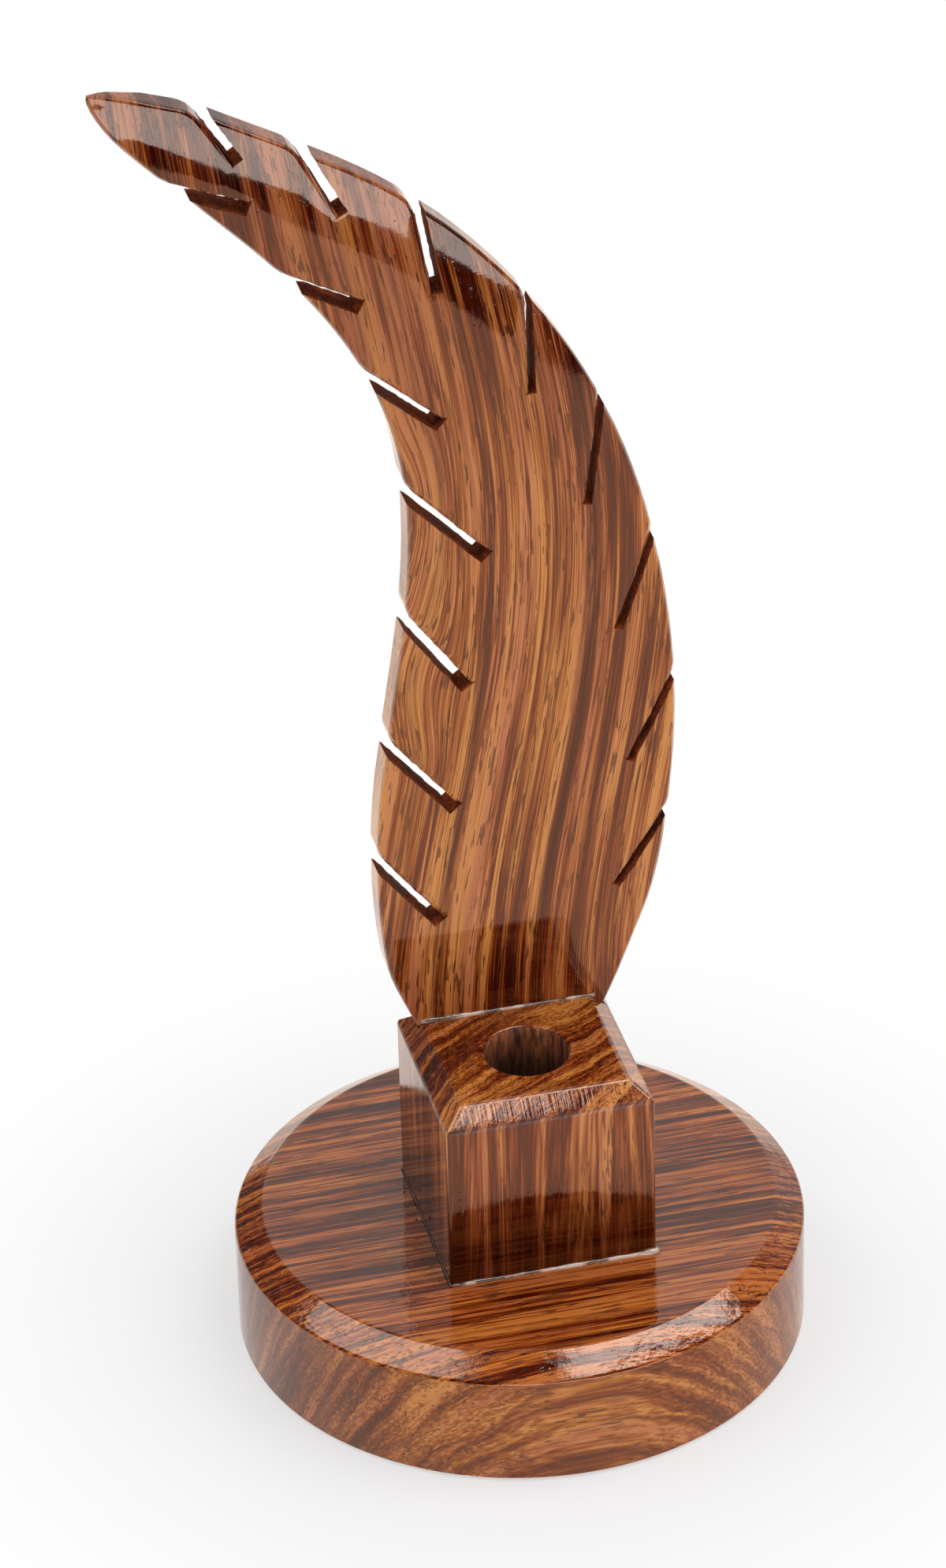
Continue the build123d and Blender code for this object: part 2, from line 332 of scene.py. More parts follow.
def brushMarks(look, place, facing, height, roughness):
    brush = look["brush"]
    x, _, z = splitXyz(place)
    tilt = splitXyz(facing)[2]
    level = unitOf(crossOf(facing, (0.0, 0.0, 1.0)))
    sidePlace = joinXyz(dotOf(place, level), 0.0, z)
    slanted = times(smoothStep(tilt, 0.64, 0.72), smoothStep(tilt, 0.90, 0.97, 1.0, 0.0))
    heavier = smoothStep(x, 1.0, 9.0, *brush["chamferHeights"])
    streak = addNoise(sidePlace, (0.95, 1.0, 14.0), (5, 2, 9), 3.0, 0.55)
    height = timesPlus(streak, timesPlus(slanted, heavier, brush["sideHeight"]), height)
    dabs = addNoise(sidePlace, (0.8, 1.0, 3.6), (8, 3, 1))
    upright = smoothStep(absolute(tilt), 0.02, 0.10, brush["dabHeight"], 0.0)
    height = timesPlus(dabs, upright, height)
    worn = addNoise(sidePlace, (0.55, 1.0, 4.0), (3, 1, 7), 3.0, 0.6)
    worn = times(smoothStep(worn, 0.51, 0.57), slanted)  # the lacquer is thin in streaks on the chamfers
    roughness = timesPlus(worn, brush["wornRoughness"], roughness)
    # rubbed thin on the rounded arris below the chamfers
    rubbed = times(smoothStep(tilt, 0.04, 0.14), smoothStep(tilt, 0.62, 0.70, 1.0, 0.0))
    return height, timesPlus(rubbed, brush["arrisRoughness"], roughness)


def lacqueredWood(name, layOut, look):
    material, shader, place = newMaterial(name)
    grainPlace = layOut(place)
    facing = material.node_tree.nodes.new("ShaderNodeNewGeometry").outputs["True Normal"]
    grain, tint = cutWood(look, facing)
    wood = addNode("ShaderNodeGroup", {"Place": grainPlace, **grain}, node_tree=rosewoodGrain)
    skin =addNode("ShaderNodeGroup", {"Place": place, "Grain Place": grainPlace, **look["skin"]},
                   node_tree=lacquerSkin)
    colour = wood["Color"]
    if tint is not None:
        colour = mixColour(1.0, colour, tint, "MULTIPLY")
    wander = minus(addNoise(grainPlace, (2.0, 3.0, 22.0), (9, 6, 1), 3.0, 0.6), 0.5)
    layer = plus(splitXyz(grainPlace)[0], times(wander, rosewood["streakWander"]))
    strands = smoothStep(addNoise(grainPlace, (0.4, 0.9, 17.0), (6, 2, 9)), 0.36, 0.60, 0.35, 1.0)
    for spot, halfWidth, depth in look["streaks"]:
        away = absolute(minus(layer, spot))
        dark = times(smoothStep(away, halfWidth * 0.25, halfWidth, depth, 0.0), strands)
        colour = mixColour(dark, colour, rosewood["streakTint"], "MULTIPLY")
    for low, high, below, above in look["paintedShades"]:  # painted shade: the colour darkened by height, near the joints and towards the blade's top
        fade = smoothStep(splitXyz(place)[2], low, high)
        colour = mixColour(1.0, colour, mixColour(fade, below, above), "MULTIPLY")
    height = plus(wood["Height"], skin["Height"])
    roughness = skin["Roughness"]
    if "bore" in look:
        colour, roughness = bareBore(look, place, colour, roughness)
    if "brush" in look:
        height, roughness = brushMarks(look, place, facing, height, roughness)
    finishSurface(shader, colour, roughness, height, lacquer["surface"])
    return material


def grainAlong(look):
    def layOut(place):
        return addVectors(joinXyz(*(dotOf(place, axis) for axis in look["grainAxes"])), look["grainShift"])
    return layOut


print("wood and lacquer groups built")


# Mesh helpers: a merged copy of a CAD node, and a finished piece that stands for it
def copyNode(node):
    shape = bmesh.new()
    shape.from_mesh(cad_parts[node].data)
    bmesh.ops.remove_doubles(shape, verts=shape.verts, dist=1e-6)
    return shape


def makePiece(name, mesh, node, materials):
    if len(mesh.materials):
        mesh.materials.clear()
    for material in materials:
        mesh.materials.append(material)
    piece = bpy.data.objects.new(name, mesh)
    scene.collection.objects.link(piece)
    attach(piece, "root")
    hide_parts(node)
    return piece


def bakeModifiers(mesh, addModifiers):
    carrier = bpy.data.objects.new("carrier", mesh)
    scene.collection.objects.link(carrier)
    addModifiers(carrier)
    seen = carrier.evaluated_get(bpy.context.evaluated_depsgraph_get())
    result = bpy.data.meshes.new_from_object(seen)
    bpy.data.objects.remove(carrier)
    return result


def settleNormals(mesh, limit=35):
    # each corner takes the area-weighted normal of the faces round it that turn by less than the limit
    around = {}
    for polygon in mesh.polygons:
        polygon.use_smooth = True
        for vert in polygon.vertices:
            around.setdefault(vert, []).append((polygon.normal.copy(), polygon.area))
    least = math.cos(math.radians(limit))
    normals = []
    for polygon in mesh.polygons:
        for vert in polygon.vertices:
            near = [normal * area for normal, area in around[vert] if normal.dot(polygon.normal) > least]
            normals.append(sum(near, Vector((0, 0, 0))).normalized())
    mesh.normals_split_custom_set(normals)


def easeEdges(shape, wanted, width, flatTurn=0.5, sharpTurn=20):
    flatAngle, sharpAngle = math.radians(flatTurn), math.radians(sharpTurn)
    bmesh.ops.dissolve_limit(shape, angle_limit=flatAngle, verts=shape.verts, edges=shape.edges)
    weights = shape.edges.layers.float.new("bevel_weight_edge")
    for edge in shape.edges:
        if len(edge.link_faces) == 2 and edge.calc_face_angle(0) > sharpAngle and wanted(edge):
            edge[weights] = 1.0
    mesh = bpy.data.meshes.new("eased")
    shape.to_mesh(mesh)
    shape.free()

    def addBevel(carrier):
        bevel = carrier.modifiers.new("ease", "BEVEL")
        bevel.limit_method = "WEIGHT"
        bevel.width = width * mm
        bevel.segments = 3
        bevel.use_clamp_overlap = False
    eased = bakeModifiers(mesh, addBevel)
    settleNormals(eased)
    return eased


# Round base
roundBase = {
    "radius": 48.0,
    "rimTop": 19.9,
    "flatRadius": 43.1,
    "top": 23.1,
    "bottom": 0.4,
    "edgeRound": 0.45,
    "grainAxes": ((0.0, 0.90, 0.436), (0.0, -0.436, 0.90), (1.0, 0.0, 0.0)),  # layers, beside them, along
    "grainShift": (4.0, 0.0, 31.0),
    "grain": {
        "Wave": 1.8, "Stripe Width": 1.05, "Thread Width": 0.52, "Thread Length": 60.0, "Line Gap": 4.2,
        "Lines": 0.7, "Lightness": 0.07,
    },
    "sideGrain": {"Stripe Width": 1.5, "Thread Width": 0.65, "Line Gap": 4.8, "Lines": 0.95},
    "endGrain": ((1.0, 0.0, 0.0), 0.75, 0.06),  # axis, share of contrast across it, and how much darker
    "sideContrast": 0.74,
    "topContrast": 1.25,
    "sideTint": (0.93, 0.91, 0.88),
    "topTint": (1.01, 0.77, 0.50),
    "streaks": [(-23.4, 1.1, 0.8), (-19.0, 0.7, 0.6), (18.0, 1.6, 0.5)],  # layer, half width and depth
    "paintedShades": [],
    "skin": {"Ridges": 0.0035, "Unevenness": 9.0},
}


def onBaseRim(edge):
    for x, y, z in (vert.co / mm for vert in edge.verts):
        reach = math.hypot(x, y)
        atRim = min(abs(z - roundBase["rimTop"]), abs(z - roundBase["bottom"])) < 0.02
        rim = abs(reach - roundBase["radius"]) < 0.1 and atRim
        crown = abs(reach - roundBase["flatRadius"]) < 0.1 and abs(z - roundBase["top"]) < 0.02
        if not (rim or crown):
            return False
    return True


baseWood = lacqueredWood("baseRosewood", grainAlong(roundBase), roundBase)
baseMesh = easeEdges(copyNode("base_disc"), onBaseRim, roundBase["edgeRound"])
makePiece("turnedBase", baseMesh, "base_disc", [baseWood])
print("base turned")


# Pen block
penBlock = {
    "shoulder": 53.6,
    "top": 56.6,
    "left": -17.2,
    "right": 18.0,
    "notchFront": 6.4,
    "leastEdge": 20.0,
    "edgeRound": 0.55,
    "grainAxes": ((-0.50, 0.866, 0.0), (0.866, 0.50, 0.0), (0.0, 0.0, 1.0)),
    "grainShift": (0.0, 40.0, 13.0),
    "grain": {
        "Wave": 5.0, "Stripe Width": 1.7, "Thread Width": 0.5, "Line Gap": 6.0, "Lines": 0.6,
        "Lightness": -0.20,
    },
    "sideGrain": {},
    # partly painted shade: the block's sides are darker than its top, partly its own tone and partly
    # standing for the lesser light on them
    "endGrain": ((0.0, 0.0, 1.0), 0.95, -0.22),
    "sideContrast": 1.05,
    "topContrast": 1.0,
    "sideTint": (1.0, 1.0, 1.05),
    "topTint": (1.06, 0.98, 0.80),
    "streaks": [(3.5, 1.6, 0.55)],
    # painted shade: the block's lower part darkened towards the base
    "paintedShades": [(27.0, 45.0, (0.30, 0.20, 0.16), (1.0, 1.0, 1.0))],
    "bore": {
        "middle": (0.4, -6.2, 0.0), "radius": 6.95, "blend": 0.15, "colour": (0.62, 0.19, 0.06),
        # painted shade: below the bore's top the wall goes dark down to the given height
        "bareShare": 0.45, "shadeBelow": 47.0, "roughness": 0.75,
    },
    "skin": {"Ridges": 0.003, "Unevenness": 1.0},
    "brush": {  # streaks that run up its chamfers, heavier at the left, and short dabs on its upright sides
        "chamferHeights": (0.040, 0.012), "sideHeight": 0.008, "dabHeight": 0.035,
        "wornRoughness": 0.08, "arrisRoughness": 0.45,
    },
}


def onBlockArris(edge):
    middle = (edge.verts[0].co + edge.verts[1].co) / 2 / mm
    run = edge.verts[1].co - edge.verts[0].co
    if abs(run.normalized().z) > 0.999:
        atSide = min(abs(middle.x - penBlock["left"]), abs(middle.x - penBlock["right"])) < 0.02
        return atSide and run.length > penBlock["leastEdge"] * mm
    return middle.z > penBlock["shoulder"] - 0.05 and middle.y < penBlock["notchFront"]


blockWood = lacqueredWood("blockRosewood", grainAlong(penBlock), penBlock)
blockMesh = easeEdges(copyNode("pen_block"), onBlockArris, penBlock["edgeRound"])
makePiece("chamferedBlock", blockMesh, "pen_block", [blockWood])
print("block eased")


# Feather blade: the face is crowned towards its smooth edges, the slits were sawn afterwards
feather = {
    "frontY": 6.6,
    "backY": 12.6,
    "zero": 56.6,  # the block's top, from which the edges' heights are measured
    "tip": (-61.4, 176.6),
    "outerEdge": [
        (18.1, 0.0), (24.7, 14.7), (28.8, 34.0), (30.2, 53.0), (28.6, 76.0), (22.9, 100.7),
        (10.6, 126.5), (-5.6, 146.0), (-21.4, 158.1), (-40.5, 168.9),
    ],
    "innerEdge": [
        (-53.0, 163.5), (-36.6, 146.8), (-22.4, 127.9), (-15.4, 110.1), (-13.7, 93.0),
        (-17.0, 62.5), (-20.7, 30.0), (-19.6, 12.0), (-15.3, 0.0),
    ],
    "outerCrown": (12.0, 0.25),  # reach from the edge, and slope at it
    "innerCrown": (7.0, 0.12),
    "crownFrom": 1.0,  # flat where the foot meets the block
    "crownFade": 12.0,
    "meshStep": 1.3,
    "rowShare": 0.866,
    "rimStep": 0.4,
    "rimClearance": 0.55,
    "slits": [
        ((-45.1, 157.3), (-37.0, 154.0)), ((-28.3, 138.9), (-20.1, 134.6)), ((-17.0, 119.6), (-8.0, 111.9)),
        ((-13.1, 99.3), (-1.3, 86.9)), ((-14.3, 76.4), (-5.0, 63.3)), ((-18.2, 53.6), (-7.5, 40.6)),
        ((-20.0, 31.2), (-10.6, 19.1)), ((-42.0, 168.4), (-38.0, 162.0)), ((-27.2, 160.6), (-22.2, 150.9)),
        ((-9.7, 147.3), (-7.7, 135.2)), ((6.9, 130.7), (7.0, 115.3)), ((18.3, 110.4), (15.7, 93.9)),
        ((26.1, 84.4), (20.6, 69.9)), ((29.5, 58.1), (22.2, 44.6)), ((28.2, 32.7), (19.6, 20.6)),
    ],
    "slitMouth": 9.0,  # how far a slit may run on past its mouth
    "halfKerf": 1.5,
    "wallReach": (0.6, 1.3),  # a slit's walls lie between these distances from its middle
    "slitCuts": 14,  # the sawn edges are parted for their ragged line, and the lacquer narrows each cut
    "slitLacquer": 0.12,
    "slitRagged": 0.16,
    "tipReach": 11.0,  # both faces come together towards the blunt tip
    "tipY": 8.0,
    "tipPinch": 0.92,
    "tipBlunt": 1.0,
    "bluntReach": 3.5,
    "bluntTowards": (0.72, 0, -0.69),
    "sway": 5.75,  # the grain's S bend: how far, and its length up the blade
    "swayHeight": 90.0,
    "swayLength": 190.0,
    "lean": 0.26,  # the grain leans over beside the inner barbs
    "leanBeside": (-14.0, -4.0),
    "leanHeight": 82.0,
    "leanFade": (8.0, 34.0),
    "grain": {
        "Wave": 2.0, "Stripe Width": 2.5, "Thread Width": 0.45, "Line Gap": 7.0, "Lines": 0.55,
        "Lightness": 0.125, "Contrast": 1.18,
    },
    "streaks": [
        (-6.2, 1.2, 1.0), (10.8, 1.7, 1.0), (-36.0, 3.2, 1.0), (-21.5, 1.6, 0.8), (-15.0, 1.2, 0.7),
        (14.0, 1.0, 0.4), (4.5, 0.8, 0.6),
    ],
    # painted shade: the blade darkened just above the block and towards its top
    "paintedShades": [
        (56.0, 74.0, (0.80, 0.66, 0.55), (1.0, 1.0, 1.0)),
        (145.0, 200.0, (1.0, 1.0, 1.0), (0.70, 0.58, 0.55)),
    ],
    "skin": {"Ridges": 0.0016, "Unevenness": 1.0},
}


def smoothLine(points, steps=8):
    ends = [2 * points[0] - points[1], *points, 2 * points[-1] - points[-2]]
    line = []
    for a, b, c, d in zip(ends, ends[1:], ends[2:], ends[3:]):
        bend, twist = 2 * a - 5 * b + 4 * c - d, 3 * b - a - 3 * c + d
        for step in range(steps):
            t = step / steps
            line.append(0.5 * (2 * b + (c - a) * t + bend * t * t + twist * t ** 3))
    return [*line, points[-1]]


def nearLine(spot, line):
    best = None
    for a, b in zip(line, line[1:]):
        run = b - a
        t = max(0.0, min(1.0, (spot - a).dot(run) / run.length_squared))
        away = spot - (a + run * t)
        if best is None or away.length_squared < best.length_squared:
            best = away
    return best.length


tipSpot = Vector(feather["tip"])
outerLine = smoothLine([*(Vector(point) for point in feather["outerEdge"]), tipSpot])
innerLine = smoothLine([tipSpot, *(Vector(point) for point in feather["innerEdge"])])


def crownDrop(spot):
    drop = 0.0
    for line, (reach, slope) in ((outerLine, feather["outerCrown"]), (innerLine, feather["innerCrown"])):
        inside = max(0.0, reach - nearLine(spot, line))
        drop += slope * inside * inside / (2 * reach)
    fade = max(0.0, min(1.0, (spot.y - feather["crownFrom"]) / feather["crownFade"]))
    return drop * fade * fade * (3 - 2 * fade)


def flatSpot(co):
    return Vector((co.x / mm, co.z / mm - feather["zero"]))


def slitsAt(spot, slack):
    # each slit that runs by a spot: its direction, and how far beside its middle the spot lies
    for mouth, end in feather["slits"]:
        start, stop = Vector(mouth), Vector(end)
        run = (stop - start).normalized()
        if -feather["slitMouth"] < (spot - start).dot(run) < (stop - start).length + slack:
            yield run, (spot - start).cross(run)


def isSawn(face):
    if abs(face.normal.y) > 0.5:
        return False
    flat = Vector((face.normal.x, face.normal.z))
    for run, reach in slitsAt(flatSpot(face.calc_center_median()), 0.6):
        squared = abs(flat.dot(run)) < 0.02 or abs(flat.dot(run)) > 0.98
        if abs(reach) < feather["halfKerf"] and squared:
            return True
    return False


def slitWall(spot):
    # the direction of the slit whose wall a spot lies on, and the way from that wall to the slit's middle
    least, most = feather["wallReach"]
    for run, reach in slitsAt(spot, 0.1):
        if least < abs(reach) < most:
            return run, Vector((-run.y, run.x)) * (1 if reach > 0 else -1)
    return None


def refineFace(shape, faceY):
    flat = [face for face in shape.faces if all(abs(vert.co.y - faceY) < 1e-6 for vert in face.verts)]
    inner = set(flat)
    rim = [edge for face in flat for edge in face.edges
           if any(other not in inner for other in edge.link_faces)]
    rimVerts = list({vert for edge in rim for vert in edge.verts})
    numbers = {vert: number for number, vert in enumerate(rimVerts)}
    spots = [flatSpot(vert.co) for vert in rimVerts]
    rimPairs = [(numbers[edge.verts[0]], numbers[edge.verts[1]]) for edge in rim]
    triangles = [[flatSpot(vert.co) for vert in face.verts] for face in flat]

    def covered(spot):
        for a, b, c in triangles:
            turns = [(q - p).cross(spot - p) for p, q in ((a, b), (b, c), (c, a))]
            if min(turns) >= 0 or max(turns) <= 0:
                return True
        return False

    step, rimStep = feather["meshStep"], feather["rimStep"]
    lowX, highX = min(s.x for s in spots), max(s.x for s in spots)
    lowZ, highZ = min(s.y for s in spots), max(s.y for s in spots)
    edgeCells = {}
    for a, b in rimPairs:
        run = spots[b] - spots[a]
        for part in range(int(run.length / rimStep) + 2):
            dot = spots[a] + run * min(1.0, part * rimStep / max(run.length, 1e-6))
            edgeCells.setdefault((int(dot.x // 1), int(dot.y // 1)), []).append(dot)

    def clearOfRim(spot):
        column, row = int(spot.x // 1), int(spot.y // 1)
        least = feather["rimClearance"] * step
        cells = [(column + i, row + j) for i in (-1, 0, 1) for j in (-1, 0, 1)]
        return not any((dot - spot).length < least for cell in cells for dot in edgeCells.get(cell, ()))

    inside = []
    row = 0
    z = lowZ
    while z < highZ:
        x = lowX + (step / 2 if row % 2 else 0)
        while x < highX:
            spot = Vector((x, z))
            if covered(spot) and clearOfRim(spot):
                inside.append(spot)
            x += step
        z += step * feather["rowShare"]
        row += 1
    madeSpots, _, madeFaces, sources, *_ = delaunay_2d_cdt(spots + inside, rimPairs, [], 1, 1e-7)
    bmesh.ops.delete(shape, geom=flat, context="FACES_ONLY")
    lookup = {}
    for number, (spot, origins) in enumerate(zip(madeSpots, sources)):
        known = next((origin for origin in origins if origin < len(rimVerts)), None)
        if known is not None:
            lookup[number] = rimVerts[known]
        else:
            lookup[number] = shape.verts.new((spot.x * mm, faceY, (spot.y + feather["zero"]) * mm))
    for corners in madeFaces:
        middle = sum((madeSpots[corner] for corner in corners), Vector((0, 0))) / len(corners)
        if covered(middle):
            shape.faces.new([lookup[corner] for corner in corners])
    return len(inside)


def partSlitEdges(shape, leastLength=2):
    longEdges = []
    for edge in shape.edges:
        a, b = (flatSpot(vert.co) for vert in edge.verts)
        level = abs(edge.verts[0].co.y - edge.verts[1].co.y) < 1e-6
        found = slitWall((a + b) / 2) if level and (b - a).length > leastLength else None
        if found and abs((b - a).normalized().dot(found[0])) > 0.9999:
            longEdges.append(edge)
    bmesh.ops.subdivide_edges(shape, edges=longEdges, cuts=feather["slitCuts"])
    bmesh.ops.triangulate(shape, faces=[face for face in shape.faces if len(face.verts) > 3])
    return len(longEdges)


def roughenSlits(sawn):
    for vert in {vert for face in sawn for vert in face.verts}:
        found = slitWall(flatSpot(vert.co))
        if found:
            wave = noise.noise(vert.co / mm * 0.9) + 0.6 * noise.noise(vert.co / mm * 2.3)
            inwards = feather["slitLacquer"] + feather["slitRagged"] * wave
            vert.co += Vector((found[1].x, 0, found[1].y)) * inwards * mm


def crownBlade(shape):
    depth = (feather["backY"] - feather["frontY"]) * mm
    inwards = Vector(feather["bluntTowards"]) * feather["tipBlunt"] * mm
    for vert in shape.verts:
        share = 1 - (vert.co.y - feather["frontY"] * mm) / depth
        spot = flatSpot(vert.co)
        away = (spot - tipSpot).length
        if share > 0.01:
            vert.co.y += crownDrop(spot) * mm * share
        near = max(0.0, 1 - away / feather["tipReach"])
        if near > 0:
            vert.co.y += (feather["tipY"] * mm - vert.co.y) * feather["tipPinch"] * near ** 1.5
            vert.co += inwards * max(0.0, 1 - away / feather["bluntReach"]) ** 2


def bladeNormals(mesh, kinds):
    # arrises are shaded round: each eased strip takes its normals from the faces on its two sides
    faceSums = {}
    for polygon, kind in zip(mesh.polygons, kinds):
        for vert in polygon.vertices:
            faceSums.setdefault(vert, []).append((kind, polygon.normal.copy(), polygon.area))
    normals = []
    for polygon, kind in zip(mesh.polygons, kinds):
        likeness = 0.2 if kind == "ease" else 0.8
        for vert in polygon.vertices:
            around = faceSums[vert]
            want = kind
            if kind == "ease":
                held = {other for other, _, _ in around}
                want = next((name for name in ("front", "back", "wall") if name in held), "ease")
            total = Vector((0, 0, 0))
            for other, normal, area in around:
                if other == want and (want != "wall" or normal.dot(polygon.normal) > likeness):
                    total += normal * area
            normals.append(total.normalized() if total.length > 0 else polygon.normal.copy())
    mesh.normals_split_custom_set(normals)


def faceKind(face):
    if isSawn(face):
        return "sawn"
    turn = face.normal.y
    if abs(turn) > 0.99:
        return "front" if turn < 0 else "back"
    return "wall" if abs(turn) < 0.05 else "ease"


def buildBlade():
    shape = copyNode("feather_blade")
    print("slit edges parted:", partSlitEdges(shape))
    count = refineFace(shape, feather["frontY"] * mm) + refineFace(shape, feather["backY"] * mm)
    shape.normal_update()
    bmesh.ops.recalc_face_normals(shape, faces=shape.faces)
    kinds = [faceKind(face) for face in shape.faces]
    for face, kind in zip(shape.faces, kinds):
        face.smooth = kind != "sawn"
        if kind == "sawn":
            face.material_index = 1
    roughenSlits([face for face, kind in zip(shape.faces, kinds) if kind == "sawn"])
    crownBlade(shape)
    mesh = bpy.data.meshes.new("featherBlade")
    shape.to_mesh(mesh)
    shape.free()
    bladeNormals(mesh, kinds)
    print("blade faces refined with", count, "inner points,", len(mesh.polygons), "faces")
    return mesh


def featherFlow(place):
    x, y, z = splitXyz(place)
    rise = minus(z, feather["zero"] + feather["swayHeight"])
    wave = cosine(times(rise, 2 * math.pi / feather["swayLength"]))
    swayed = timesPlus(wave, -feather["sway"], x)
    above = minus(z, feather["zero"] + feather["leanHeight"])
    beside = smoothStep(x, *feather["leanBeside"], feather["lean"], 0.0)
    within = smoothStep(absolute(above), *feather["leanFade"], 1.0, 0.0)
    return joinXyz(minus(swayed, times(times(beside, within), above)), y, z)


def sawnWood():
    material, shader, place = newMaterial("sawnSlit")
    marks = addNoise(place, (0.5, 0.25, 0.5), (3, 3, 3))
    blotch = addNoise(place, (2.5, 2.5, 5.0), (1, 8, 2))
    tone = plus(times(marks, 0.5), times(blotch, 0.5))
    tones = [(0.36, (0.040, 0.008, 0.003)), (0.52, (0.230, 0.050, 0.0165)), (0.66, (0.50, 0.125, 0.042))]
    roughness = smoothStep(blotch, 0.3, 0.7, 0.55, 0.85)
    finishSurface(shader, addRamp(tone, tones), roughness, times(marks, 0.03), {"Specular IOR Level": 0.02})
    return material


featherWood = lacqueredWood("featherRosewood", featherFlow, feather)
makePiece("crownedFeather", buildBlade(), "feather_blade", [featherWood, sawnWood()])


# Glue that was squeezed out along the two joints: beads and droplets by geometry nodes
glueBeads = {
    "blockLine": [  # round the block's foot: x, y and how far the bead swells there
        (-17.2, 12.6, 0.5), (-17.2, 4.0, 0.6), (-17.2, -6.0, 0.55), (-17.2, -16.0, 0.6), (-17.2, -21.9, 1.0),
        (-9.0, -21.9, 0.9), (0.0, -21.9, 0.85), (9.0, -21.9, 1.05), (15.0, -21.9, 1.3), (18.0, -21.9, 1.9),
        (18.0, -17.0, 0.7), (18.0, -5.0, 0.5), (18.0, 12.6, 0.5), (0.4, 12.6, 0.6),
    ],
    "blockHeight": 23.15,
    "blockDroplets": {"Droplets": 70, "Seed": 4},
    "footLine": [  # along the blade's front foot
        (-14.6, 6.55, 1.0), (-13.0, 6.55, 1.5), (-11.0, 6.55, 1.0), (-9.0, 6.55, 1.35), (-6.0, 6.55, 0.7),
        (-2.0, 6.55, 1.0), (3.0, 6.55, 0.65), (8.0, 6.55, 0.8), (12.0, 6.55, 0.6), (15.4, 6.55, 0.8),
    ],
    "footHeight": 56.62,
    "footDroplets": {"Droplets": 24, "Seed": 9},
    "sizes": {
        "Thickness": 0.41 * mm, "Lumpiness": 0.9, "Lump Length": 3.6 * mm, "Droplet Size": 0.17 * mm,
        "Spread": 1.5 * mm,
    },
    "pointGap": 0.0003,
    "leastSwell": 0.12,
    "dropletScale": (0.3, 1.3),
}


def beadTree(look):
    tree = bpy.data.node_groups.new("squeezedGlue", "GeometryNodeTree")
    kinds = {"Line": "Geometry", "Droplets": "Int", "Seed": "Int", "Glue": "Material"}
    for label in ("Line", *look["sizes"], "Droplets", "Seed", "Glue"):
        kind = "NodeSocket" + kinds.get(label, "Float")
        tree.interface.new_socket(label, in_out="INPUT", socket_type=kind)
    tree.interface.new_socket("Bead", in_out="OUTPUT", socket_type="NodeSocketGeometry")
    takes = tree.nodes.new("NodeGroupInput").outputs
    gives = tree.nodes.new("NodeGroupOutput").inputs
    seed = takes["Seed"]
    curve = addNode("GeometryNodeMeshToCurve", {"Mesh": takes["Line"]})[0]
    values = {"Curve": curve, "Length": look["pointGap"]}
    even = addNode("GeometryNodeResampleCurve", values, mode="LENGTH")[0]
    swell = tree.nodes.new("GeometryNodeInputNamedAttribute")
    swell.data_type = "FLOAT"
    swell.inputs["Name"].default_value = "swell"
    spot = tree.nodes.new("GeometryNodeInputPosition").outputs[0]
    values = {"Vector": divideVectors(spot, takes["Lump Length"]), "W": seed, "Scale": 1.0, "Detail": 2.0}
    lumps = addNode("ShaderNodeTexNoise", values, noise_dimensions="4D")[0]
    rough = timesPlus(minus(lumps, 0.5), takes["Lumpiness"], 0.5)
    scale = larger(times(times(rough, 2.0), swell.outputs[0]), look["leastSwell"])
    ring = addNode("GeometryNodeCurvePrimitiveCircle", {"Resolution": 10, "Radius": takes["Thickness"]})[0]
    values = {"Curve": even, "Profile Curve": ring, "Scale": scale, "Fill Caps": True}
    tube = addNode("GeometryNodeCurveToMesh", values)[0]
    values = {"Curve": even, "Count": takes["Droplets"]}
    points = addNode("GeometryNodeCurveToPoints", values, mode="COUNT")[0]
    values = {0: (-1, -1, 0), 1: (1, 1, 0), "Seed": seed}
    away = addNode("FunctionNodeRandomValue", values, data_type="FLOAT_VECTOR")[0]
    throw = addNode("ShaderNodeVectorMath", {0: away, "Scale": takes["Spread"]}, operation="SCALE")[0]
    thrown = addNode("GeometryNodeSetPosition", {"Geometry": points, "Offset": throw})[0]
    least, most = look["dropletScale"]
    size = addNode("FunctionNodeRandomValue", {2: least, 3: most, "Seed": seed}, data_type="FLOAT")[1]
    ball = addNode("GeometryNodeMeshIcoSphere", {"Radius": takes["Droplet Size"], "Subdivisions": 2})[0]
    values = {"Points": thrown, "Instance": ball, "Scale": size}
    drops = addNode("GeometryNodeInstanceOnPoints", values)[0]
    joined = addNode("GeometryNodeJoinGeometry", {"Geometry": tube})[0]
    feed(joined.node.inputs[0], drops)
    real = addNode("GeometryNodeRealizeInstances", {"Geometry": joined})[0]
    smooth = addNode("GeometryNodeSetShadeSmooth", {"Geometry": real})[0]
    feed(gives[0], addNode("GeometryNodeSetMaterial", {"Geometry": smooth, "Material": takes["Glue"]})[0])
    return tree


def driedGlue():
    material, shader, place = newMaterial("driedGlue")
    x, y, z = splitXyz(place)
    cloud = addNoise(place, (4.2, 2.6, 2.6), (2, 5, 1))
    sides = times(smoothStep(y, -21.6, -20.0), smoothStep(z, 30.0, 50.0, 1.0, 0.0))
    milky = plus(cloud, smoothStep(x, -17.0, 18.0, -0.06, 0.05))
    milky = timesPlus(sides, -0.16, milky)  # brown along the block's sides
    tones = [(0.36, (0.030, 0.008, 0.003)), (0.48, (0.110, 0.036, 0.012)), (0.62, (0.60, 0.45, 0.36))]
    skin = times(addNoise(place, (0.9, 0.9, 0.9), (7, 1, 4)), 0.008)
    finishSurface(shader, addRamp(milky, tones), smoothStep(cloud, 0.3, 0.7, 0.05, 0.12), skin,
                  {"IOR": 1.65, "Specular IOR Level": 1.0, "Specular Tint": (1.0, 0.94, 0.90, 1.0)})
    return material


